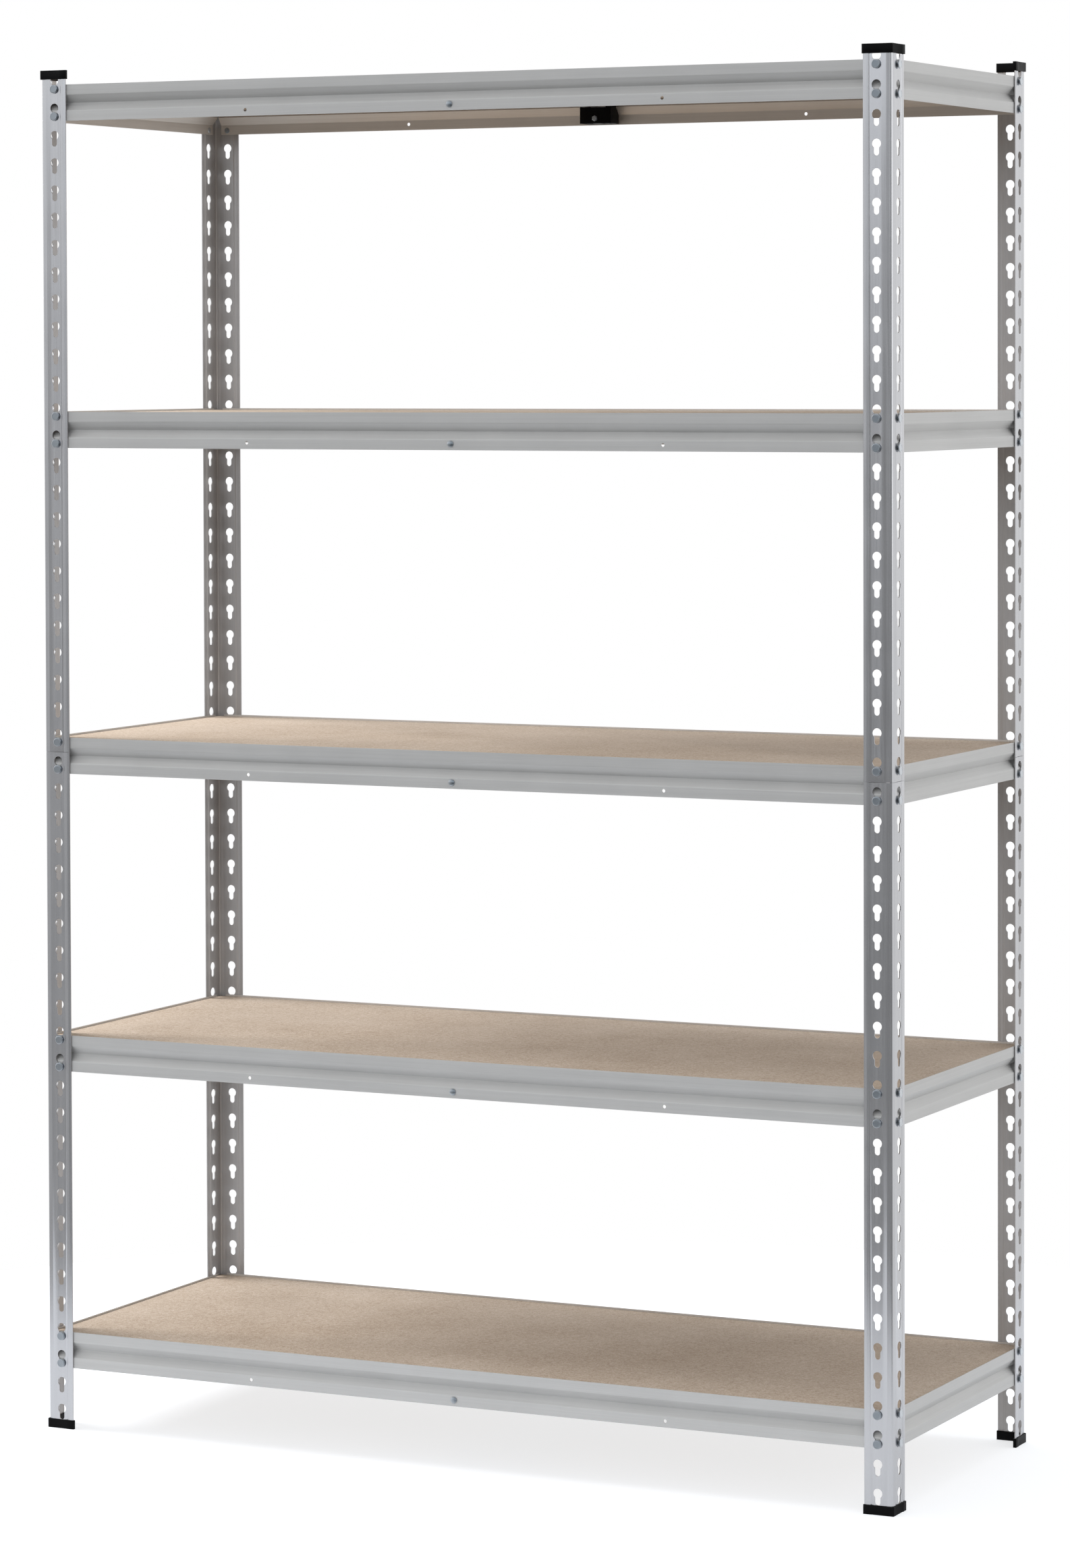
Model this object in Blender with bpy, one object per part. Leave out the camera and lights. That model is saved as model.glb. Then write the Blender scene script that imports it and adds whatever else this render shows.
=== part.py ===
"""Boltless steel shelving: angle posts in two halves, five clip-in shelf levels with chipboard panels."""

import math

import bmesh
import bpy

# Frame: origin on the floor at the middle, +X to the right, +Y to the back, +Z up. Metres.

# Overall
WIDTH = 1.210  # across the posts' outer faces
DEPTH = 0.465  # across the posts' outer faces
GAP = 0.0003  # between pieces that touch

# Posts: two halves of folded angle each, butted at mid-height
HALF_POST = 0.900
SEAM = 0.0003
POST_BOTTOM = 0.0022  # the foot's sole lies below
FLANGE = 0.038
POST_SHEET = 0.0012
CORNER_R = 0.0035
RIB_FROM_EDGE = (0.0, 0.0025, 0.0050, 0.0080)  # stiffening rib along the free edge
RIB_RISE = (0.0001, 0.0006, 0.0006, 0.0)

# Keyholes
PITCH = 0.036
KEYHOLES_PER_HALF = 25
KEYHOLE_LINE = 0.0205  # from the post's corner
KEYHOLE_TOP = 0.0056  # first keyhole's top edge below the half's top end
# One side of a keyhole, as (across, up): a round head over a parallel slot
KEYHOLE_OUTLINE = ((0.0034, 0.0), (0.0062, -0.0055), (0.0036, -0.0110), (0.0036, -0.0208))
SEAT = 0.0171  # a seated rivet's axis below its keyhole's top edge

# Beams
BEAM_HEIGHT = 0.048
BEAM_SHEET = 0.0010
BEAM_SETBACK = POST_SHEET + GAP
FLAT = 0.0135  # upper and lower flat of the face
GROOVE = 0.0080  # depth of the V between them
RIVET_FROM_EDGE = 0.0060
END_PAST_RIVET = 0.0094
SHANK_R = 0.0033
HEAD_R = 0.0057
HEAD_OUT = (0.0004, 0.0014, 0.0030)  # head's tapered underside, rim and face, out from the post's face
HOLE_FROM_BOTTOM = 0.0080
SIDE_HOLE_R = 0.0023
SCREW_HOLE_R = 0.0027

# Levels from the floor up: index of the upper rivet's keyhole, counted from the post's top
LEVEL_ROWS = (46, 35, 24, 12, 0)

# Boards
BOARD = 0.012
BOARD_DROP = 0.0022  # below the beams' top edge
BOARD_CLEAR = 0.0011

# Support bar across the middle and its two end brackets
BAR_WIDTH = 0.030
BAR_HEIGHT = 0.0104
BRACKET_WIDTH = 0.046
BRACKET_IN = 0.026  # reach in from the beam's inner face
SCREW_R = 0.0024
SCREW_HEAD_R = 0.0045
SCREW_HEAD = 0.0023
NUT_R = 0.0040
NUT = 0.0030

# Caps and feet
CAP_TOP = 0.0022
SKIRT = 0.0096  # how far a cap or foot reaches along the post
SKIRT_OUT = 0.0012  # wall outside the post
SKIRT_IN = 0.0014
SKIRT_STEP = (0.0092, 0.0104)  # from the flange's edge: where the wall steps out over the rib

COLOURS = {
    "post_steel": ((0.56, 0.58, 0.62), 0.9, 0.34),
    "beam_steel": ((0.60, 0.61, 0.62), 0.9, 0.38),
    "chipboard": ((0.58, 0.44, 0.31), 0.0, 0.78),
    "black_plastic": ((0.012, 0.012, 0.013), 0.0, 0.46),
}
CORNERS = {
    "front_left": (-1, -1),
    "front_right": (1, -1),
    "back_left": (-1, 1),
    "back_right": (1, 1),
}


def material(slot):
    found = bpy.data.materials.get(slot)
    if found:
        return found
    colour, metallic, roughness = COLOURS[slot]
    made = bpy.data.materials.new(slot)
    made.use_nodes = True
    shader = made.node_tree.nodes["Principled BSDF"]
    shader.inputs["Base Color"].default_value = (*colour, 1.0)
    shader.inputs["Metallic"].default_value = metallic
    shader.inputs["Roughness"].default_value = roughness
    made.diffuse_color = (*colour, 1.0)
    return made


def prism(outline, place, low, high):
    """Vertices and faces of a straight prism: place(p, q, s) puts outline point (p, q) at station s."""
    n = len(outline)
    verts = [place(p, q, low) for p, q in outline] + [place(p, q, high) for p, q in outline]
    faces = [tuple(range(n)), tuple(range(2 * n - 1, n - 1, -1))]
    faces += [(i, n + i, n + (i + 1) % n, (i + 1) % n) for i in range(n)]
    return verts, faces


def lathe(stations, sides, place):
    """A closed turned body: stations are (s, radius); place(p, q, s) puts a ring point at station s."""
    angles = [2 * math.pi * (i + 0.5) / sides for i in range(sides)]
    verts = [place(r * math.cos(a), r * math.sin(a), s) for s, r in stations for a in angles]
    faces = [tuple(range(sides))]
    for k in range(len(stations) - 1):
        ring = [(k * sides + i, k * sides + (i + 1) % sides) for i in range(sides)]
        faces += [(a, a + sides, b + sides, b) for a, b in ring]
    faces.append(tuple(reversed(range(len(verts) - sides, len(verts)))))
    return verts, faces


def solid(name, bodies, slot=None):
    """An object made of closed bodies, each turned to face out."""
    mesh = bpy.data.meshes.new(name)
    built = bmesh.new()
    for verts, faces in bodies:
        made = [built.verts.new(v) for v in verts]
        for face in faces:
            built.faces.new([made[i] for i in face])
    bmesh.ops.recalc_face_normals(built, faces=built.faces)
    built.to_mesh(mesh)
    built.free()
    obj = bpy.data.objects.new(name, mesh)
    bpy.context.scene.collection.objects.link(obj)
    if slot:
        mesh.materials.append(material(slot))
    return obj


def combine(obj, operation, bodies):
    """Applies an exact boolean with the given closed bodies."""
    tool = solid("tool", bodies)
    change = obj.modifiers.new("shape", "BOOLEAN")
    change.operation = operation
    change.solver = "EXACT"
    change.object = tool
    bpy.context.view_layer.update()
    shaped = obj.evaluated_get(bpy.context.evaluated_depsgraph_get())
    mesh = bpy.data.meshes.new_from_object(shaped)
    obj.modifiers.remove(change)
    old = obj.data
    obj.data = mesh
    mesh.name = obj.name
    bpy.data.meshes.remove(old)
    cut = tool.data
    bpy.data.objects.remove(tool)
    bpy.data.meshes.remove(cut)


def finish(obj):
    """Puts the origin at the piece's middle and shades it smooth between its hard edges."""
    corners = [v.co for v in obj.data.vertices]
    low = [min(c[i] for c in corners) for i in range(3)]
    high = [max(c[i] for c in corners) for i in range(3)]
    middle = [(a + b) / 2 for a, b in zip(low, high)]
    for vertex in obj.data.vertices:
        vertex.co = [c - m for c, m in zip(vertex.co, middle)]
    obj.location = middle
    obj.data.polygons.foreach_set("use_smooth", [True] * len(obj.data.polygons))
    obj.data.set_sharp_from_angle(angle=math.radians(50))


def at_corner(sx, sy):
    """Corner coordinates: a along the front or back face, b along the side, both from the outer corner."""
    return lambda a, b, z: (sx * (WIDTH / 2 - a), sy * (DEPTH / 2 - b), z)


def post_outline():
    """Outer face from one free edge round the corner to the other, then back along the inner face."""
    ribbed = [(FLANGE - e, -r) for e, r in zip(RIB_FROM_EDGE, RIB_RISE)]
    arc = [math.radians(90 * i / 3) for i in range(4)]
    bend = [(CORNER_R * (1 - math.sin(t)), CORNER_R * (1 - math.cos(t))) for t in arc]
    inner_r = CORNER_R - POST_SHEET
    inner = [
        (CORNER_R - inner_r * math.sin(t), CORNER_R - inner_r * math.cos(t)) for t in (arc[0], arc[3])
    ]
    outer = ribbed + bend + [(b, a) for a, b in reversed(ribbed)]
    rib_in = [(a, b + POST_SHEET) for a, b in ribbed]
    return outer + [(b, a) for a, b in rib_in] + list(reversed(inner)) + list(reversed(rib_in))


def keyhole_outline():
    right = [(x, z) for x, z in KEYHOLE_OUTLINE]
    return right + [(-x, z) for x, z in reversed(right)]


def half_post(name, sx, sy, bottom):
    put = at_corner(sx, sy)
    top = bottom + HALF_POST
    obj = solid(name, [prism(post_outline(), put, bottom, top)], "post_steel")
    cuts = []
    for k in range(KEYHOLES_PER_HALF):
        head = top - KEYHOLE_TOP - k * PITCH

        def on_face(p, q, s, head=head):
            return put(KEYHOLE_LINE + p, s, head + q)

        def on_side(p, q, s, head=head):
            return put(s, KEYHOLE_LINE + p, head + q)

        for place in (on_face, on_side):
            cuts.append(prism(keyhole_outline(), place, -0.002, POST_SHEET + 0.002))
    combine(obj, "DIFFERENCE", cuts)
    finish(obj)


def beam_outline():
    """Section as (depth in from the outer face, height below the top edge)."""
    slope = (BEAM_HEIGHT - 2 * FLAT) / 2
    angle = math.atan2(GROOVE, slope)
    shift = BEAM_SHEET * math.tan(angle / 2)
    apex = GROOVE + BEAM_SHEET / math.cos(angle)
    return [
        (0, 0),
        (0, -FLAT),
        (GROOVE, -BEAM_HEIGHT / 2),
        (0, FLAT - BEAM_HEIGHT),
        (0, -BEAM_HEIGHT),
        (BEAM_SHEET, -BEAM_HEIGHT),
        (BEAM_SHEET, FLAT - BEAM_HEIGHT + shift),
        (apex, -BEAM_HEIGHT / 2),
        (BEAM_SHEET, -FLAT - shift),
        (BEAM_SHEET, 0),
    ]


def beam(name, top, span, place, holes):
    """A beam with its end rivets; place(along, in, z) is in from the posts' outer face."""
    reach = span / 2 - KEYHOLE_LINE
    half = reach + END_PAST_RIVET

    def section(p, q, s):
        return place(s, BEAM_SETBACK + p, top + q)

    obj = solid(name, [prism(beam_outline(), section, -half, half)], "beam_steel")
    rivets = []
    for end in (-reach, reach):
        for down in (RIVET_FROM_EDGE, BEAM_HEIGHT - RIVET_FROM_EDGE):

            def about(p, q, s, end=end, down=down):
                return place(end + p, s, top - down + q)

            under, rim, face = HEAD_OUT
            middle = BEAM_SETBACK + BEAM_SHEET / 2
            shape = [(middle, SHANK_R), (-under, SHANK_R), (-rim, HEAD_R), (-face, HEAD_R - 0.0002)]
            rivets.append(lathe(shape, 8, about))
    combine(obj, "UNION", rivets)
    if holes:
        cuts = []
        for along, radius in holes:

            def through(p, q, s, along=along):
                return place(along + p, s, top - BEAM_HEIGHT + HOLE_FROM_BOTTOM + q)

            cuts.append(lathe([(-0.001, radius), (0.006, radius)], 8, through))
        combine(obj, "DIFFERENCE", cuts)
    finish(obj)


def bracket(name, top, place):
    """End bracket of the support bar, with the screw and nut that fix it to the beam's lower flat."""
    inner = BEAM_SETBACK + BEAM_SHEET + GAP
    slope = (BEAM_HEIGHT - 2 * FLAT) / 2
    apex = BEAM_SETBACK + GROOVE + 0.0018
    back = BEAM_SETBACK + BEAM_SHEET + BRACKET_IN
    bed = -BOARD_DROP - BOARD - GAP - BAR_HEIGHT - GAP
    saddle = [
        (inner, -BEAM_HEIGHT),
        (inner, -BEAM_HEIGHT + FLAT - 0.0008),
        (apex, -BEAM_HEIGHT + FLAT + slope - 0.0008),
        (apex, bed),
        (back, bed),
        (back, -BEAM_HEIGHT),
    ]
    cheek = BAR_WIDTH / 2 + GAP
    top_of_cheek = -BOARD_DROP - BOARD - 0.0010
    sides = [
        (-BRACKET_WIDTH / 2, bed - 0.002),
        (-cheek, bed - 0.002),
        (-cheek, top_of_cheek),
        (-BRACKET_WIDTH / 2, top_of_cheek),
    ]

    def section(p, q, s):
        return place(s, p, top + q)

    def upright(p, q, s):
        return place(p, s, top + q)

    base = prism(saddle, section, -BRACKET_WIDTH / 2, BRACKET_WIDTH / 2)
    mirrored = [(-x, z) for x, z in sides]
    start = apex + 0.0006
    obj = solid(name, [base], "black_plastic")
    combine(obj, "UNION", [prism(side, upright, start, back - 0.0006) for side in (sides, mirrored)])
    head_at = BEAM_SETBACK - GAP

    def about(p, q, s):
        return place(p, s, top - BEAM_HEIGHT + HOLE_FROM_BOTTOM + q)

    screw = [(back + NUT + 0.0012, SCREW_R), (head_at, SCREW_R), (head_at, SCREW_HEAD_R)]
    screw += [(head_at - SCREW_HEAD * 0.6, SCREW_HEAD_R * 0.9), (head_at - SCREW_HEAD, SCREW_HEAD_R * 0.45)]
    combine(obj, "UNION", [lathe(screw, 8, about)])
    combine(obj, "UNION", [lathe([(back + NUT, NUT_R), (back - 0.001, NUT_R)], 6, about)])
    finish(obj)


def bar(name, top):
    """Channel open below, lying front to back under the board."""
    high = top - BOARD_DROP - BOARD - GAP
    low = high - BAR_HEIGHT
    half, sheet = BAR_WIDTH / 2, BEAM_SHEET
    outline = [
        (-half, low),
        (-half, high),
        (half, high),
        (half, low),
        (half - sheet, low),
        (half - sheet, high - sheet),
        (sheet - half, high - sheet),
        (sheet - half, low),
    ]
    end = DEPTH / 2 - BEAM_SETBACK - GROOVE - 0.0022
    finish(solid(name, [prism(outline, lambda p, q, s: (p, s, q), -end, end)], "beam_steel"))


def board(name, top):
    x = WIDTH / 2 - BEAM_SETBACK - BEAM_SHEET - BOARD_CLEAR
    y = DEPTH / 2 - BEAM_SETBACK - BEAM_SHEET - BOARD_CLEAR
    outline = [(-x, -y), (x, -y), (x, y), (-x, y)]
    high = top - BOARD_DROP
    finish(solid(name, [prism(outline, lambda p, q, s: (p, q, s), high - BOARD, high)], "chipboard"))


def angle_outline(out, thick, end):
    """An angle in plan, from out beyond the post's outer faces to thick inside them, filled in the corner.

    Near both free edges the outside steps out by the rib's rise.
    """
    over = out + max(RIB_RISE)
    near, far = (FLANGE - step for step in SKIRT_STEP)
    bend = CORNER_R + thick - POST_SHEET
    outside = [(end, -over), (near, -over), (far, -out)]
    inside = [(thick, end), (thick, bend), (bend, thick), (end, thick)]
    return outside + [(-out, -out)] + [(b, a) for a, b in reversed(outside)] + inside


def shoe(name, sx, sy, closed, rim):
    """A cap or a foot: closed is the height of its closed face, rim that of its open edge."""
    put = at_corner(sx, sy)
    outer = angle_outline(SKIRT_OUT, POST_SHEET + SKIRT_IN, FLANGE + 0.0012)
    slot = angle_outline(GAP, POST_SHEET + GAP, FLANGE + GAP)
    way = 1 if rim > closed else -1
    obj = solid(name, [prism(outer, put, *sorted((closed, rim)))], "black_plastic")
    floor = closed + way * (CAP_TOP - GAP)
    combine(obj, "DIFFERENCE", [prism(slot, put, *sorted((floor, rim + way * 0.002)))])
    finish(obj)


def front(along, inwards, z):
    return (along, -DEPTH / 2 + inwards, z)


def rear(along, inwards, z):
    return (along, DEPTH / 2 - inwards, z)


def left(along, inwards, z):
    return (-WIDTH / 2 + inwards, along, z)


def right(along, inwards, z):
    return (WIDTH / 2 - inwards, along, z)


for old_object in list(bpy.data.objects):
    bpy.data.objects.remove(old_object, do_unlink=True)

post_top = POST_BOTTOM + 2 * HALF_POST + SEAM
for corner, (sign_x, sign_y) in CORNERS.items():
    half_post(f"post_{corner}_lower", sign_x, sign_y, POST_BOTTOM)
    half_post(f"post_{corner}_upper", sign_x, sign_y, POST_BOTTOM + HALF_POST + SEAM)
    shoe(f"foot_{corner}", sign_x, sign_y, 0.0, POST_BOTTOM + SKIRT)
    shoe(f"cap_{corner}", sign_x, sign_y, post_top + CAP_TOP, post_top - SKIRT)

quarter = (WIDTH / 2 - KEYHOLE_LINE + END_PAST_RIVET) / 2
long_holes = ((-quarter, SIDE_HOLE_R), (0.0, SCREW_HOLE_R), (quarter, SIDE_HOLE_R))
for number, row in enumerate(LEVEL_ROWS, start=1):
    half_top = post_top if row < KEYHOLES_PER_HALF else POST_BOTTOM + HALF_POST
    seat = half_top - KEYHOLE_TOP - SEAT - (row % KEYHOLES_PER_HALF) * PITCH
    level_top = seat + RIVET_FROM_EDGE
    beam(f"beam_front_{number}", level_top, WIDTH, front, long_holes)
    beam(f"beam_back_{number}", level_top, WIDTH, rear, long_holes)
    beam(f"beam_left_{number}", level_top, DEPTH, left, ())
    beam(f"beam_right_{number}", level_top, DEPTH, right, ())
    bracket(f"bracket_front_{number}", level_top, front)
    bracket(f"bracket_back_{number}", level_top, rear)
    bar(f"support_bar_{number}", level_top)
    board(f"board_{number}", level_top)
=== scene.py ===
import math
import random

import bmesh
import bpy
from mathutils import Matrix, Vector


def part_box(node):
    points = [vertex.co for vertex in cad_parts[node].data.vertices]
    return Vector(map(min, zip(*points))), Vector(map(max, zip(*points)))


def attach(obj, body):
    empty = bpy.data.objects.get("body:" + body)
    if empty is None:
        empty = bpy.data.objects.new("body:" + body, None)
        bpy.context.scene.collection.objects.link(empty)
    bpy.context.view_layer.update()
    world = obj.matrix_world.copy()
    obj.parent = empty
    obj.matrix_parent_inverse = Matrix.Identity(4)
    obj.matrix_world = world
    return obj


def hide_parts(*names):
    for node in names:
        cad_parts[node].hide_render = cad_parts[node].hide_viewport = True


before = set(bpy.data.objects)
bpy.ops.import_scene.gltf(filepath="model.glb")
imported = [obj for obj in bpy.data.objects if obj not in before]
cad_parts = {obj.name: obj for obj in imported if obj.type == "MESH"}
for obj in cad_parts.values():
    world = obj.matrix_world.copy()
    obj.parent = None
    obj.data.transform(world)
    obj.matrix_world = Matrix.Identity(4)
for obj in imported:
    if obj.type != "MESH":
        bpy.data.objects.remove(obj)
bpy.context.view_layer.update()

# ---------------------------------------------------------------- sizes, metres
FLANGE = 0.038
POST_SHEET = 0.0012
RIB = 0.0006  # height of the rib along a flange's free edge
CORNER_IN = 0.00055  # how far the post's corner lies inside its faces
HALF_POST = 0.900
PITCH = 0.036
KEYHOLES = 25  # in each half of a post
KEYHOLE_LINE = 0.0205  # from the post's corner
KEYHOLE_TOP = 0.0056  # first keyhole's top below the half's top end
HEAD_HOLE_R = 0.0061
SLOT_R = 0.0036
KEYHOLE_TALL = 0.0208

BEAM_HEIGHT = 0.048
BEAM_SHEET = 0.0010
BEAM_SETBACK = 0.0015  # beam's face behind the post's face
FLAT = 0.0135  # upper and lower flat of the beam's face
GROOVE = 0.0080  # depth of the V between them
HEAD_OUT = 0.0030  # rivet's face out from the post's face
RIVET_FROM_EDGE = 0.0060
END_PAST_RIVET = 0.0094
LOW_HOLE = 0.0080  # holes above the beam's lower edge
SIDE_HOLE_R = 0.0023
SCREW_HOLE_R = 0.0027

CORNERS = {
    "front_left": (-1, -1),
    "front_right": (1, -1),
    "back_left": (-1, 1),
    "back_right": (1, 1),
}
SIDES = {"front": 0.0, "back": math.pi, "left": -math.pi / 2, "right": math.pi / 2}
LEVELS = range(1, 6)


# ---------------------------------------------------------------- materials
NOISE_SPREAD = 37.0  # how far apart two objects' noise is taken


class Nodes:
    """A material's node tree with short calls for the nodes used here."""

    def __init__(self, name):
        self.material = bpy.data.materials.new(name)
        self.material.use_nodes = True
        self.tree = self.material.node_tree
        self.shader = self.tree.nodes["Principled BSDF"]
        self.coords = self.tree.nodes.new("ShaderNodeTexCoord").outputs["Object"]
        self.random = self.tree.nodes.new("ShaderNodeObjectInfo").outputs["Random"]

    def link(self, output, node, socket):
        self.tree.links.new(output, node.inputs[socket])

    def stretched(self, scale):
        node = self.tree.nodes.new("ShaderNodeMapping")
        node.inputs["Scale"].default_value = scale
        self.link(self.coords, node, "Vector")
        return node.outputs["Vector"]

    def noise(self, vector, scale, detail=3.0, roughness=0.55):
        """Noise that differs from one object to the next."""
        spread = self.tree.nodes.new("ShaderNodeMath")
        spread.operation = "MULTIPLY"
        spread.inputs[1].default_value = NOISE_SPREAD
        self.link(self.random, spread, 0)
        node = self.tree.nodes.new("ShaderNodeTexNoise")
        node.noise_dimensions = "4D"
        node.inputs["Scale"].default_value = scale
        node.inputs["Detail"].default_value = detail
        node.inputs["Roughness"].default_value = roughness
        self.link(vector, node, "Vector")
        self.link(spread.outputs[0], node, "W")
        return node.outputs["Fac"]

    def chips(self, scale):
        """A random value for each cell of a cell pattern."""
        cells = self.tree.nodes.new("ShaderNodeTexVoronoi")
        cells.inputs["Scale"].default_value = scale
        self.link(self.coords, cells, "Vector")
        value = self.tree.nodes.new("ShaderNodeSeparateColor")
        self.link(cells.outputs["Color"], value, "Color")
        return value.outputs["Red"]

    def ramp(self, value, stops):
        node = self.tree.nodes.new("ShaderNodeValToRGB")
        elements = node.color_ramp.elements
        while len(elements) < len(stops):
            elements.new(0.5)
        for element, (place, colour) in zip(elements, stops):
            element.position = place
            element.color = (*colour, 1.0)
        self.link(value, node, "Fac")
        return node.outputs["Color"]

    def span(self, value, low, high, start=0.3, end=0.7):
        node = self.tree.nodes.new("ShaderNodeMapRange")
        node.inputs["From Min"].default_value = start
        node.inputs["From Max"].default_value = end
        node.inputs["To Min"].default_value = low
        node.inputs["To Max"].default_value = high
        self.link(value, node, "Value")
        return node.outputs["Result"]

    def add(self, first, second, weight):
        """first + second × weight"""
        node = self.tree.nodes.new("ShaderNodeMath")
        node.operation = "MULTIPLY_ADD"
        node.inputs[1].default_value = weight
        self.link(second, node, 0)
        self.link(first, node, 2)
        return node.outputs[0]

    def bump(self, height, distance, strength=1.0):
        node = self.tree.nodes.new("ShaderNodeBump")
        node.inputs["Strength"].default_value = strength
        node.inputs["Distance"].default_value = distance
        self.link(height, node, "Height")
        self.link(node.outputs["Normal"], self.shader, "Normal")

    def set(self, **values):
        for name, value in values.items():
            self.shader.inputs[name.replace("_", " ")].default_value = value


def rolled_steel(name, along, dark, light, gloss, metallic):
    """Galvanised sheet with fine rolling streaks along one axis and soft cloudy patches."""
    fine, broad = [1500.0] * 3, [260.0] * 3
    fine[along], broad[along] = 9.0, 3.0
    made = Nodes(name)
    streaks = made.noise(made.stretched(fine), 1.0, detail=2.0)
    bands = made.noise(made.stretched(broad), 1.0, detail=2.0)
    clouds = made.noise(made.coords, 14.0, detail=4.0)
    mixed = made.add(made.add(streaks, bands, 0.8), clouds, 0.7)
    low, high = 0.85, 1.65
    colour = made.ramp(made.span(mixed, 0.0, 1.0, low, high), [(0.0, dark), (1.0, light)])
    made.link(colour, made.shader, "Base Color")
    made.link(made.span(mixed, gloss[0], gloss[1], low, high), made.shader, "Roughness")
    made.set(Metallic=metallic)
    made.bump(made.add(streaks, bands, 0.6), 0.00002, 0.28)
    return made.material


def zinc():
    """Plated fastener whose colour carries a painted reflection: darker where it is seen face-on and
    brighter at a glancing angle.
    """
    made = Nodes("zinc_fastener")
    grain = made.noise(made.coords, 900.0, detail=4.0)
    # painted reflection: Layer Weight darkens the colour face-on and lightens it at a glance, on top of the
    # grain
    painted_reflection_facing = made.tree.nodes.new("ShaderNodeLayerWeight")
    painted_reflection_facing.inputs["Blend"].default_value = 0.5
    grain_and_painted_reflection = made.add(painted_reflection_facing.outputs["Facing"], grain, 0.12)
    tones = [(0.10, (0.22, 0.25, 0.28)), (0.22, (0.34, 0.37, 0.40)), (0.68, (0.62, 0.65, 0.68))]
    made.link(made.ramp(grain_and_painted_reflection, tones), made.shader, "Base Color")
    made.link(made.span(grain, 0.30, 0.42), made.shader, "Roughness")
    made.set(Metallic=1.0)
    made.bump(grain, 0.00002, 0.4)
    return made.material


def chipboard():
    """Raw board: chips of several browns under fine grain, dust and broad clouds."""
    made = Nodes("pressed_chipboard")
    chips = made.chips(620.0)
    grain = made.noise(made.coords, 900.0, detail=3.0, roughness=0.7)
    dust = made.noise(made.coords, 210.0, detail=4.0, roughness=0.6)
    clouds = made.noise(made.coords, 7.0, detail=3.0)
    mixed = made.add(made.add(made.add(grain, chips, 0.35), dust, 0.8), clouds, 0.5)
    tones = [
        (0.0, (0.268, 0.197, 0.138)),
        (0.35, (0.412, 0.332, 0.260)),
        (0.65, (0.494, 0.412, 0.337)),
        (1.0, (0.632, 0.556, 0.486)),
    ]
    made.link(made.ramp(made.span(mixed, 0.0, 1.0, 0.85, 1.80), tones), made.shader, "Base Color")
    made.link(made.span(dust, 0.78, 0.93), made.shader, "Roughness")
    made.set(Specular_IOR_Level=0.12)
    made.bump(made.add(grain, chips, 0.4), 0.00012, 0.6)
    return made.material


def plastic():
    """Black moulding with a fine satin grain."""
    made = Nodes("moulded_plastic")
    grain = made.noise(made.coords, 1400.0, detail=2.0)
    clouds = made.noise(made.coords, 60.0, detail=3.0)
    tones = [(0.3, (0.0022, 0.0022, 0.0025)), (0.7, (0.0045, 0.0045, 0.005))]
    made.link(made.ramp(clouds, tones), made.shader, "Base Color")
    made.link(made.span(clouds, 0.34, 0.50), made.shader, "Roughness")
    made.set(Specular_IOR_Level=0.06)
    made.bump(grain, 0.00004, 0.5)
    return made.material


X, Y, Z = range(3)
POST_STEEL = rolled_steel(
    "post_steel_rolled", Z, (0.520, 0.526, 0.548), (0.595, 0.601, 0.622), (0.18, 0.26), 0.96
)
# painted shade: a darker, rougher, less metallic copy of the post steel for the inward faces of the angle
POST_PAINTED_SHADE = rolled_steel(
    "post_steel_painted_shade", Z, (0.40, 0.39, 0.385), (0.51, 0.50, 0.50), (0.46, 0.56), 0.88
)
BEAM_STEEL = rolled_steel(
    "beam_steel_rolled", X, (0.49, 0.49, 0.485), (0.575, 0.575, 0.57), (0.48, 0.58), 0.60
)
# painted light: a lighter, warmer copy of the beam steel for the beams' inward faces
BEAM_PAINTED_LIGHT = rolled_steel(
    "beam_steel_painted_light", X, (0.58, 0.545, 0.505), (0.68, 0.645, 0.605), (0.42, 0.52), 0.70
)
BAR_STEEL = rolled_steel(
    "bar_steel_rolled", Y, (0.49, 0.49, 0.485), (0.575, 0.575, 0.57), (0.48, 0.58), 0.60
)
ZINC = zinc()
CHIPBOARD = chipboard()
PLASTIC = plastic()


# ---------------------------------------------------------------- shape helpers
def unit(p, q):
    dx, dy = q[0] - p[0], q[1] - p[1]
    size = math.hypot(dx, dy)
    return dx / size, dy / size


def folded(points, radii, thickness, steps=5):
    """Closed outline of a folded sheet; its middle line runs through points, with a radius at each fold."""
    line = [(points[0], unit(points[0], points[1]))]
    for before, corner, after, radius in zip(points, points[1:], points[2:], radii):
        u, v = unit(before, corner), unit(corner, after)
        turn = math.atan2(u[0] * v[1] - u[1] * v[0], u[0] * v[0] + u[1] * v[1])
        reach = radius * math.tan(abs(turn) / 2)
        start = (corner[0] - u[0] * reach, corner[1] - u[1] * reach)
        side = 1 if turn > 0 else -1
        centre = (start[0] - side * u[1] * radius, start[1] + side * u[0] * radius)
        for k in range(steps + 1):
            a = turn * k / steps
            c, s = math.cos(a), math.sin(a)
            d = (u[0] * c - u[1] * s, u[0] * s + u[1] * c)
            line.append(((centre[0] + side * d[1] * radius, centre[1] - side * d[0] * radius), d))
    line.append((points[-1], unit(points[-2], points[-1])))
    half = thickness / 2
    near = [(p[0] - d[1] * half, p[1] + d[0] * half) for p, d in line]
    far = [(p[0] + d[1] * half, p[1] - d[0] * half) for p, d in line]
    return near + list(reversed(far))


SHARP_ANGLE = 32


def along_x(p, q, s):
    return s, p, q


def along_y(p, q, s):
    return p, s, q


def along_z(p, q, s):
    return p, q, s


def prism(outline, place, low, high):
    """An outline swept from low to high; place turns (across, across, along) into x, y, z."""
    n = len(outline)
    verts = [place(p, q, low) for p, q in outline] + [place(p, q, high) for p, q in outline]
    faces = [tuple(range(n)), tuple(range(2 * n - 1, n - 1, -1))]
    faces += [(i, n + i, n + (i + 1) % n, (i + 1) % n) for i in range(n)]
    return verts, faces


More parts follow.
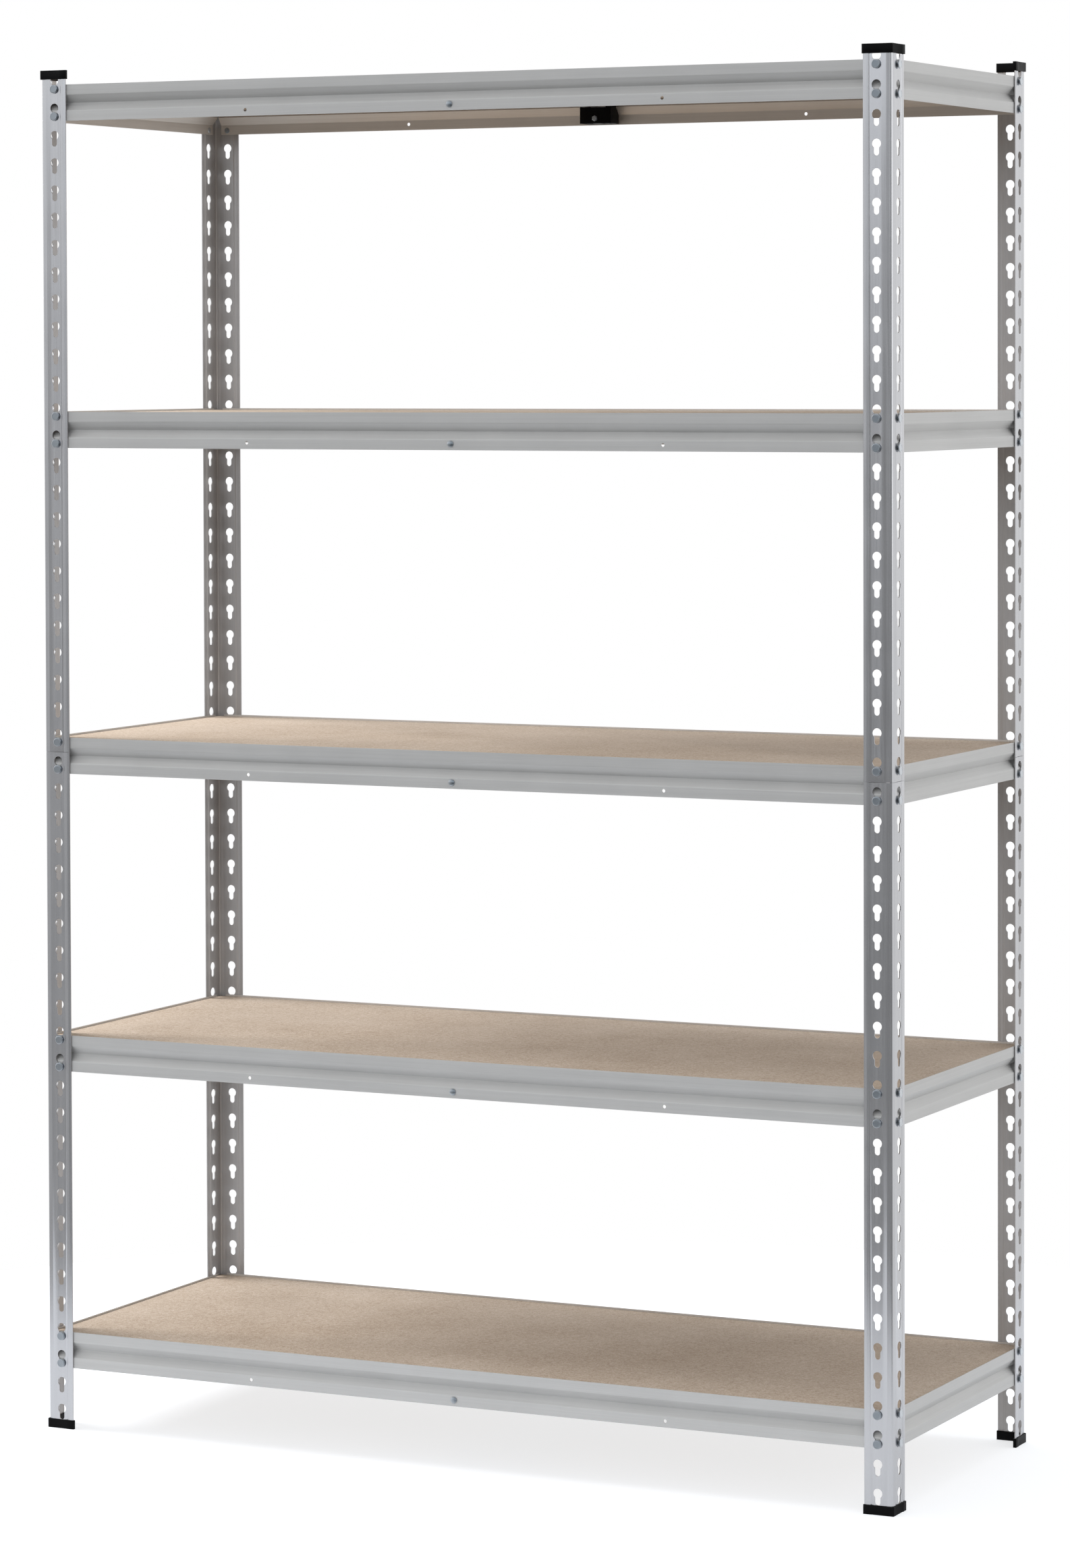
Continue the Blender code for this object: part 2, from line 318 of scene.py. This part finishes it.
def lathe(stations, sides, place):
    """A turned solid from (along, radius) stations, closed at both ends."""
    angles = [2 * math.pi * (i + 0.5) / sides for i in range(sides)]
    verts = [place(r * math.cos(a), r * math.sin(a), s) for s, r in stations for a in angles]
    faces = [tuple(range(sides))]
    for k in range(len(stations) - 1):
        ring = [(k * sides + i, k * sides + (i + 1) % sides) for i in range(sides)]
        faces += [(a, a + sides, b + sides, b) for a, b in ring]
    faces.append(tuple(reversed(range(len(verts) - sides, len(verts)))))
    return verts, faces


def mesh_of(name, bodies):
    mesh = bpy.data.meshes.new(name)
    built = bmesh.new()
    for verts, faces in bodies:
        made = [built.verts.new(v) for v in verts]
        for face in faces:
            built.faces.new([made[i] for i in face])
    bmesh.ops.recalc_face_normals(built, faces=built.faces)
    built.to_mesh(mesh)
    built.free()
    return mesh


def evaluated(mesh, add_modifiers):
    """The mesh after the modifiers that add_modifiers puts on a short-lived object."""
    carrier = bpy.data.objects.new("carrier", mesh)
    bpy.context.scene.collection.objects.link(carrier)
    add_modifiers(carrier)
    bpy.context.view_layer.update()
    done = bpy.data.meshes.new_from_object(carrier.evaluated_get(bpy.context.evaluated_depsgraph_get()))
    bpy.data.objects.remove(carrier)
    return done


def boolean(mesh, operation, bodies):
    """The mesh joined with, or cut by, a set of closed bodies."""
    tool = bpy.data.objects.new("tool", mesh_of("tool", bodies))
    bpy.context.scene.collection.objects.link(tool)

    def cut(carrier):
        change = carrier.modifiers.new("cut", "BOOLEAN")
        change.operation, change.solver, change.object = operation, "EXACT", tool

    done = evaluated(mesh, cut)
    bpy.data.objects.remove(tool)
    return done


def bevelled(mesh, width, segments=2, angle=40):
    def soften(carrier):
        change = carrier.modifiers.new("soften", "BEVEL")
        change.width, change.segments = width, segments
        change.limit_method, change.angle_limit = "ANGLE", math.radians(angle)

    return evaluated(mesh, soften)


def piece(name, mesh, material, body, nodes=(), location=(0, 0, 0), turn=0.0):
    """A finished object: shaded, given its material, and riding on its body."""
    mesh.name = name
    mesh.materials.clear()
    mesh.materials.append(material)
    mesh.polygons.foreach_set("use_smooth", [True] * len(mesh.polygons))
    mesh.set_sharp_from_angle(angle=math.radians(SHARP_ANGLE))
    obj = bpy.data.objects.new(name, mesh)
    bpy.context.scene.collection.objects.link(obj)
    obj.location = location
    obj.rotation_euler = (0, 0, turn)
    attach(obj, body)
    if nodes:
        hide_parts(*nodes)
    return obj


def paint_light_and_shade_inside(sheet, material, looks_in):
    """Gives a second material to the faces whose normal looks inwards; the callers pass a copy of their
    steel with painted shade (posts) or painted light (beams).
    """
    sheet.data.materials.append(material)
    for face in sheet.data.polygons:
        if looks_in(face.normal):
            face.material_index = 1


# ---------------------------------------------------------------- posts
def post_outline():
    """Outline of the folded angle in corner coordinates.

    Each leg starts at its free edge with a low roof-shaped rib, and turns in a little before the corner.
    """
    mid = POST_SHEET / 2
    leg = [
        (FLANGE, mid - 0.5 * RIB),
        (FLANGE - 0.0036, mid - RIB),
        (FLANGE - 0.0076, mid - 0.75 * RIB),
        (FLANGE - 0.0082, mid),
        (0.0078, mid),
        (0.0036, mid + CORNER_IN),
    ]
    points = leg + [(mid + CORNER_IN, mid + CORNER_IN)] + [(b, a) for a, b in reversed(leg)]
    leg_radii = [0.0030, 0.0005, 0.0005, 0.0030, 0.0030]
    radii = leg_radii + [0.0022] + leg_radii[::-1]
    return folded(points, radii, POST_SHEET, steps=4)


def keyhole():
    """Round head over a round-ended slot; the origin is at the head's top."""
    start = -math.acos(SLOT_R / HEAD_HOLE_R)
    head_steps, slot_steps = 16, 8
    points = []
    for k in range(head_steps + 1):
        a = start + (math.pi - 2 * start) * k / head_steps
        points.append((HEAD_HOLE_R * math.cos(a), -HEAD_HOLE_R + HEAD_HOLE_R * math.sin(a)))
    low = -KEYHOLE_TALL + SLOT_R
    for k in range(slot_steps + 1):
        a = math.radians(180 + 180 * k / slot_steps)
        points.append((SLOT_R * math.cos(a), low + SLOT_R * math.sin(a)))
    return points


def half_post_mesh():
    mesh = mesh_of("half_post", [prism(post_outline(), along_z, 0.0, HALF_POST)])
    cuts = []
    for k in range(KEYHOLES):
        head = HALF_POST - KEYHOLE_TOP - k * PITCH
        cuts.append(prism(keyhole(), lambda p, q, s: (KEYHOLE_LINE + p, s, head + q), -0.003, 0.004))
        cuts.append(prism(keyhole(), lambda p, q, s: (s, KEYHOLE_LINE + p, head + q), -0.003, 0.004))
    return bevelled(boolean(mesh, "DIFFERENCE", cuts), 0.00018, 1, 50)


def posts():
    master = half_post_mesh()
    for corner, (sx, sy) in CORNERS.items():
        for half in ("lower", "upper"):
            node = f"post_{corner}_{half}"
            low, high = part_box(node)
            x = (high.x if sx > 0 else low.x) - sx * RIB
            y = (high.y if sy > 0 else low.y) - sy * RIB
            mesh = master.copy()
            mesh.transform(Matrix.Diagonal((-sx, -sy, 1, 1)))
            if sx * sy < 0:
                mesh.flip_normals()
            post = piece(f"{node}_sheet", mesh, POST_STEEL, "frame", [node], (x, y, low.z))
            # the inward faces get the painted-shade copy of the post steel
            paint_light_and_shade_inside(post, POST_PAINTED_SHADE, lambda normal: min(normal.x * sx, normal.y * sy) < -0.3)


# ---------------------------------------------------------------- beams and rivets
def beam_outline():
    mid = BEAM_SHEET / 2
    points = [
        (mid, 0.0),
        (mid, -FLAT),
        (GROOVE + mid, -BEAM_HEIGHT / 2),
        (mid, FLAT - BEAM_HEIGHT),
        (mid, -BEAM_HEIGHT),
    ]
    return folded(points, [0.0020, 0.0007, 0.0020], BEAM_SHEET, steps=6)


def beam_mesh(half, holes):
    """A beam centred on x, its outer face at y = 0 and its top edge at z = 0."""
    mesh = bevelled(mesh_of("beam", [prism(beam_outline(), along_x, -half, half)]), 0.00015, 1, 60)
    if holes:
        low = LOW_HOLE - BEAM_HEIGHT
        cuts = []
        for x, radius in holes:
            through = [(-0.002, radius), (0.004, radius)]
            cuts.append(lathe(through, 20, lambda p, q, s: (x + p, s, low + q)))
        mesh = boolean(mesh, "DIFFERENCE", cuts)
    return mesh


# Rivet, as (along, radius): its clinched end past the sheet, then its head out from the post's face
CLINCH = ((0.0007, 0.0018), (0.00055, 0.0034), (0.0001, 0.0040), (-0.0002, 0.0040))
SHANK_R = 0.0032
HEAD = (
    (0.0004, SHANK_R),
    (0.0006, 0.0036),
    (0.0015, 0.0055),
    (0.0018, 0.0057),
    (0.0024, 0.0057),
    (0.0028, 0.0054),
    (0.0030, 0.0050),
    (0.0030, 0.0044),
    (0.0028, 0.0041),
    (0.0028, 0.0010),
)


def rivets_mesh(reach):
    stations = [(BEAM_SHEET + s, r) for s, r in CLINCH] + [(0.0, SHANK_R)]
    stations += [(-BEAM_SETBACK - s, r) for s, r in HEAD]
    bodies = []
    for end in (-reach, reach):
        for z in (-RIVET_FROM_EDGE, RIVET_FROM_EDGE - BEAM_HEIGHT):
            bodies.append(lathe(stations, 28, lambda p, q, s: (end + p, s, z + q)))
    return mesh_of("rivets", bodies)


def beams():
    for kind, sides, span in (("long", ("front", "back"), "x"), ("short", ("left", "right"), "y")):
        low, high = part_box(f"beam_{sides[0]}_1")
        half = (getattr(high, span) - getattr(low, span)) / 2
        holes = []
        if kind == "long":
            holes = [(-half / 2, SIDE_HOLE_R), (0.0, SCREW_HOLE_R), (half / 2, SIDE_HOLE_R)]
        beam = beam_mesh(half, holes)
        rivets = rivets_mesh(half - END_PAST_RIVET)
        for side in sides:
            turn = SIDES[side]
            inwards = Matrix.Rotation(turn, 3, "Z") @ Vector((0, 1, 0))
            for level in LEVELS:
                node = f"beam_{side}_{level}"
                low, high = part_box(node)
                middle = (low + high) / 2
                depth = abs((high - low).dot(inwards))
                face = middle - inwards * (depth / 2 - HEAD_OUT - BEAM_SETBACK)
                place = (face.x, face.y, high.z)
                body = f"level_{level}"
                mesh = beam.copy()
                sheet = piece(f"{node}_sheet", mesh, BEAM_STEEL, body, [node], place, turn)
                # the inward faces get the painted-light copy of the beam steel
                paint_light_and_shade_inside(sheet, BEAM_PAINTED_LIGHT, lambda normal: normal.y > 0.3)
                piece(f"rivets_{side}_{level}", rivets.copy(), ZINC, body, (), place, turn)


# ---------------------------------------------------------------- boards
EDGE_STEP = 0.02
EDGE_DENT = 0.00025


def board_mesh(size, seed):
    """A panel with softened, slightly uneven sawn edges."""
    draw = random.Random(seed)
    hx, hy, hz = size / 2
    corners = [(-hx, -hy), (hx, -hy), (hx, hy), (-hx, hy)]
    rim = []
    for (x0, y0), (x1, y1) in zip(corners, corners[1:] + corners[:1]):
        steps = int(max(abs(x1 - x0), abs(y1 - y0)) / EDGE_STEP)
        for k in range(steps):
            t = k / steps
            dent = 0.0 if k == 0 else draw.uniform(0, EDGE_DENT)
            x, y = x0 + (x1 - x0) * t, y0 + (y1 - y0) * t
            if abs(x1 - x0) > abs(y1 - y0):
                y -= math.copysign(dent, y0)
            else:
                x -= math.copysign(dent, x0)
            rim.append((x, y))
    mesh = mesh_of("board", [prism(rim, along_z, -hz, hz)])
    return bevelled(mesh, 0.0005, 2, 60)


def boards():
    for level in LEVELS:
        node = f"board_{level}"
        low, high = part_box(node)
        mesh = board_mesh(high - low, level)
        piece(f"{node}_panel", mesh, CHIPBOARD, f"panel_{level}", [node], (low + high) / 2)


# ---------------------------------------------------------------- support bars, brackets, screws
def bar_mesh(width, height, half):
    """A channel open below, centred on the origin and running along y."""
    mid = BEAM_SHEET / 2
    side, top = width / 2 - mid, height / 2 - mid
    points = [(side, -height / 2), (side, top), (-side, top), (-side, -height / 2)]
    outline = folded(points, [0.0015, 0.0015], BEAM_SHEET, steps=5)
    return bevelled(mesh_of("bar", [prism(outline, along_y, -half, half)]), 0.00015, 1, 60)


# Bracket, in a beam's coordinates: y from the beam's outer face, z from its top edge
BRACKET_GAP = 0.0003
BRACKET_APEX = GROOVE + 0.0018  # just behind the beam's groove
BRACKET_BACK = BEAM_SHEET + 0.026
BRACKET_LOW = 0.0012 - BEAM_HEIGHT
BED = -0.0252  # top of the saddle, under the bar
CHEEK_TOP = -0.0152
FLOOR_SHEET = 0.0020  # plastic left above the pockets
POCKETS = ((0.0062, 0.0128), (0.0146, 0.0212))


def bracket_mesh(width, bar_width):
    """Saddle with a cheek on each side of the bar and pockets below."""
    inner = BEAM_SHEET + BRACKET_GAP
    slope = (BEAM_HEIGHT - 2 * FLAT) / 2
    saddle = [
        (inner, BRACKET_LOW),
        (inner, FLAT - BEAM_HEIGHT - 0.0008),
        (BRACKET_APEX, FLAT - BEAM_HEIGHT + slope - 0.0008),
        (BRACKET_APEX, BED),
        (BRACKET_BACK, BED),
        (BRACKET_BACK, BRACKET_LOW),
    ]
    cheek, half = bar_width / 2 + BRACKET_GAP, width / 2
    shape = mesh_of("bracket", [prism(saddle, along_x, -half, half)])
    root = BED - FLOOR_SHEET
    walls = []
    for sign in (-1, 1):
        corners = ((half, root), (cheek, root), (cheek, CHEEK_TOP), (half, CHEEK_TOP))
        wall = [(sign * x, z) for x, z in corners]
        walls.append(prism(wall, along_y, BRACKET_APEX + 0.0006, BRACKET_BACK - 0.0006))
    shape = boolean(shape, "UNION", walls)
    below = -BEAM_HEIGHT - 0.001
    pockets = []
    for sign in (-1, 1):
        for start, end in POCKETS:
            box = [(sign * x, z) for x, z in ((start, below), (end, below), (end, root), (start, root))]
            pockets.append(prism(box, along_y, BRACKET_APEX + 0.0016, BRACKET_BACK - 0.0016))
    return bevelled(boolean(shape, "DIFFERENCE", pockets), 0.0005, 2, 40)


def screw_mesh():
    """Domed screw through the beam and bracket, with a hex nut behind; (along, radius) stations."""
    end = BRACKET_BACK
    screw = [
        (end + 0.0042, 0.0016),
        (end + 0.0042, 0.0024),
        (-0.0002, 0.0024),
        (-0.0003, 0.0043),
        (-0.0007, 0.0045),
        (-0.0012, 0.0043),
        (-0.0018, 0.0034),
        (-0.0022, 0.0021),
        (-0.0023, 0.0006),
    ]
    nut = [(end + 0.0030, 0.0034), (end + 0.0027, 0.0040), (end + 0.0003, 0.0040), (end + 0.0001, 0.0034)]

    def place(p, q, s):
        return p, s, LOW_HOLE - BEAM_HEIGHT + q

    return mesh_of("screw", [lathe(screw, 28, place), lathe(nut, 6, place)])


def supports():
    low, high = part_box("support_bar_1")
    size = high - low
    bar = bar_mesh(size.x, size.z, size.y / 2)
    bracket_low, bracket_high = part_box("bracket_front_1")
    bracket, screw = bracket_mesh(bracket_high.x - bracket_low.x, size.x), screw_mesh()
    for level in LEVELS:
        body = f"level_{level}"
        node = f"support_bar_{level}"
        low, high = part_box(node)
        piece(f"{node}_channel", bar.copy(), BAR_STEEL, body, [node], (low + high) / 2)
        for side in ("front", "back"):
            node = f"bracket_{side}_{level}"
            beam_low, beam_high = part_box(f"beam_{side}_{level}")
            face = beam_low.y + HEAD_OUT + BEAM_SETBACK
            if side == "back":
                face = beam_high.y - HEAD_OUT - BEAM_SETBACK
            place, turn = (0.0, face, beam_high.z), SIDES[side]
            piece(f"{node}_moulding", bracket.copy(), PLASTIC, body, [node], place, turn)
            piece(f"screw_{side}_{level}", screw.copy(), ZINC, body, (), place, turn)


# ---------------------------------------------------------------- caps and feet
SOLE = 0.0019
WALL = 0.0014  # the moulding's wall inside the post's sheet
SHOE_GAP = 0.0003
STEP = (0.0092, 0.0104)  # from the flange's edge: where the outside steps out over the rib
CORNER_STEPS = 4
INNER_TURN = 0.0035


def angle_outline(outside, inside, end, bend):
    """An angle's outline in corner coordinates, stepped out by the rib's height near both ends."""
    rib = -outside - RIB
    leg = [(end, rib), (FLANGE - STEP[0], rib), (FLANGE - STEP[1], -outside)]
    corner = []
    for k in range(CORNER_STEPS + 1):
        t = math.radians(90 * k / CORNER_STEPS)
        corner.append((-outside + bend * (1 - math.sin(t)), -outside + bend * (1 - math.cos(t))))
    turn = INNER_TURN + inside - POST_SHEET
    inner = [(inside, end), (inside, turn), (turn, inside), (end, inside)]
    return leg + corner + [(b, a) for a, b in reversed(leg)] + inner


def shoe_mesh(height, out, reach):
    """A moulded angle channel round a post's end; z runs from its closed face."""
    body = angle_outline(out - RIB, POST_SHEET + WALL, reach, 0.0020)
    slot = angle_outline(SHOE_GAP, POST_SHEET + SHOE_GAP, FLANGE + SHOE_GAP, 0.0012)
    outer = mesh_of("shoe", [prism(body, along_z, 0.0, height)])
    cut = prism(slot, along_z, SOLE, height + 0.002)
    return bevelled(boolean(outer, "DIFFERENCE", [cut]), 0.0003, 2, 40)


def shoes():
    for kind in ("foot", "cap"):
        for corner, (sx, sy) in CORNERS.items():
            node = f"{kind}_{corner}"
            low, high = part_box(node)
            post_low, post_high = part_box(f"post_{corner}_lower")
            x = (post_high.x if sx > 0 else post_low.x) - sx * RIB
            y = (post_high.y if sy > 0 else post_low.y) - sy * RIB
            edge = high.x if sx > 0 else low.x
            out = abs(edge - x)
            mesh = shoe_mesh(high.z - low.z, out, high.x - low.x - out)
            up = 1 if kind == "foot" else -1
            mesh.transform(Matrix.Diagonal((-sx, -sy, up, 1)))
            if sx * sy * up < 0:
                mesh.flip_normals()
            place = (x, y, low.z if kind == "foot" else high.z)
            piece(f"{node}_moulding", mesh, PLASTIC, "frame", [node], place)


# ---------------------------------------------------------------- studio
CAMERA_AT = (2.8599, -5.8611, 1.4208)
CAMERA_YAW, CAMERA_PITCH, CAMERA_ROLL = (math.radians(a) for a in (25.954, -1.732, -0.175))
LENS = 113.89
SHIFT_Y = -0.175  # the camera stays nearly level, so that the posts stand upright


def camera():
    data = bpy.data.cameras.new("camera")
    data.sensor_width = 36.0
    data.lens = LENS
    data.shift_y = SHIFT_Y
    data.clip_start, data.clip_end = 0.1, 200.0
    obj = bpy.data.objects.new("camera", data)
    bpy.context.scene.collection.objects.link(obj)
    sin_yaw, cos_yaw = math.sin(CAMERA_YAW), math.cos(CAMERA_YAW)
    flat = math.cos(CAMERA_PITCH)
    forward = Vector((-sin_yaw * flat, cos_yaw * flat, math.sin(CAMERA_PITCH)))
    level = Vector((cos_yaw, sin_yaw, 0.0))
    up = level.cross(forward)
    right = level * math.cos(CAMERA_ROLL) + up * math.sin(CAMERA_ROLL)
    up = up * math.cos(CAMERA_ROLL) - level * math.sin(CAMERA_ROLL)
    turn = Matrix((right, up, -forward)).transposed()
    obj.matrix_world = Matrix.Translation(CAMERA_AT) @ turn.to_4x4()
    bpy.context.scene.camera = obj


def area_light(name, at, target, size, power, spread=180, glossy=True):
    """A rectangular light aimed at target; one that isn't glossy stays out of reflections."""
    data = bpy.data.lights.new(name, "AREA")
    data.shape, data.size, data.size_y = "RECTANGLE", size[0], size[1]
    data.energy, data.spread = power, math.radians(spread)
    obj = bpy.data.objects.new(name, data)
    bpy.context.scene.collection.objects.link(obj)
    obj.location = at
    obj.rotation_euler = (Vector(target) - Vector(at)).to_track_quat("-Z", "Y").to_euler()
    obj.visible_glossy = glossy


FLOOR_R = 1.45
FLOOR_SIDES = 96
FLOOR_Z = -0.0002


def studio_floor():
    """A pale disc that ends just outside the shadow and looks plain white to the camera."""
    angles = [2 * math.pi * k / FLOOR_SIDES for k in range(FLOOR_SIDES)]
    rim = [(FLOOR_R * math.cos(a), FLOOR_R * math.sin(a), FLOOR_Z) for a in angles]
    floor = bpy.data.objects.new("floor", mesh_of("floor", [(rim, [tuple(range(FLOOR_SIDES))])]))
    bpy.context.scene.collection.objects.link(floor)
    made = Nodes("studio_floor")
    made.set(Base_Color=(0.42, 0.43, 0.45, 1.0), Roughness=0.9, Specular_IOR_Level=0.1)
    made.set(Emission_Color=(0.97, 0.985, 1.0, 1.0))
    seen = made.tree.nodes.new("ShaderNodeLightPath").outputs["Is Camera Ray"]
    made.link(made.span(seen, 0.48, 0.68, 0.0, 1.0), made.shader, "Emission Strength")
    floor.data.materials.append(made.material)


def studio_world():
    """A white studio that is open and darker in front and low down; the backdrop itself is plain white."""
    world = bpy.data.worlds.new("studio")
    world.use_nodes = True
    bpy.context.scene.world = world
    tree = world.node_tree

    def maths(operation, *values):
        node = tree.nodes.new("ShaderNodeMath")
        node.operation = operation
        for socket, value in zip(node.inputs, values):
            if isinstance(value, float):
                socket.default_value = value
            else:
                tree.links.new(value, socket)
        return node.outputs[0]

    def ease(value, start, end, low=0.0, high=1.0):
        node = tree.nodes.new("ShaderNodeMapRange")
        node.interpolation_type = "SMOOTHSTEP"
        tree.links.new(value, node.inputs["Value"])
        for name, number in (("From Min", start), ("From Max", end), ("To Min", low), ("To Max", high)):
            node.inputs[name].default_value = number
        return node.outputs["Result"]

    direction = tree.nodes.new("ShaderNodeTexCoord").outputs["Generated"]
    split = tree.nodes.new("ShaderNodeSeparateXYZ")
    tree.links.new(direction, split.inputs[0])
    x, y, z = (split.outputs[k] for k in "XYZ")
    # the open front: dark up to just above the horizon, and higher up towards the right
    front = ease(y, 0.0, -0.40)
    height = maths("MULTIPLY", z, ease(x, -0.38, -0.12, 1.0, 0.35))
    open_side = maths("MULTIPLY", front, ease(height, 0.0, 0.09, 1.0, 0.0))
    darkness = maths("MULTIPLY", open_side, ease(x, -0.70, -0.30, 0.47, 0.72))
    # a bright, slightly blue band above it
    sky = maths("MULTIPLY", front, ease(height, 0.02, 0.10))
    sky = maths("MULTIPLY", sky, ease(z, 0.25, 0.55, 1.0, 0.0))
    sky = maths("MULTIPLY", sky, ease(x, -0.52, -0.38, 0.55, 1.30))
    # the white walls, dimmer below the horizon and overhead
    glow = maths("MULTIPLY", ease(z, -0.10, 0.0, 0.88, 1.0), ease(z, 0.30, 0.65, 1.0, 0.72))
    glow = maths("MULTIPLY_ADD", sky, 0.65, glow)
    strength = maths("MULTIPLY", glow, maths("SUBTRACT", 1.0, darkness))
    seen = tree.nodes.new("ShaderNodeLightPath").outputs["Is Camera Ray"]
    tint = tree.nodes.new("ShaderNodeValToRGB")
    tint.color_ramp.elements[0].color = (1.0, 1.0, 1.0, 1.0)
    tint.color_ramp.elements[1].color = (0.93, 0.96, 1.0, 1.0)
    tree.links.new(maths("SUBTRACT", sky, seen), tint.inputs["Fac"])
    tree.links.new(tint.outputs["Color"], tree.nodes["Background"].inputs["Color"])
    tree.links.new(maths("MAXIMUM", strength, seen), tree.nodes["Background"].inputs["Strength"])


def studio():
    studio_floor()
    studio_world()
    area_light("overhead", (0.0, 0.6, 5.2), (0, 0, 0), (3.0, 2.4), 45.0)
    area_light("left", (-2.6, -0.2, 2.0), (0, 0, 1.15), (1.3, 1.3), 41.0, 110, glossy=False)
    area_light("right", (4.6, 1.0, 2.2), (0, 0, 0.9), (2.4, 2.8), 20.0)
    bpy.context.scene.view_settings.view_transform = "Standard"


posts()
beams()
boards()
supports()
shoes()
camera()
studio()
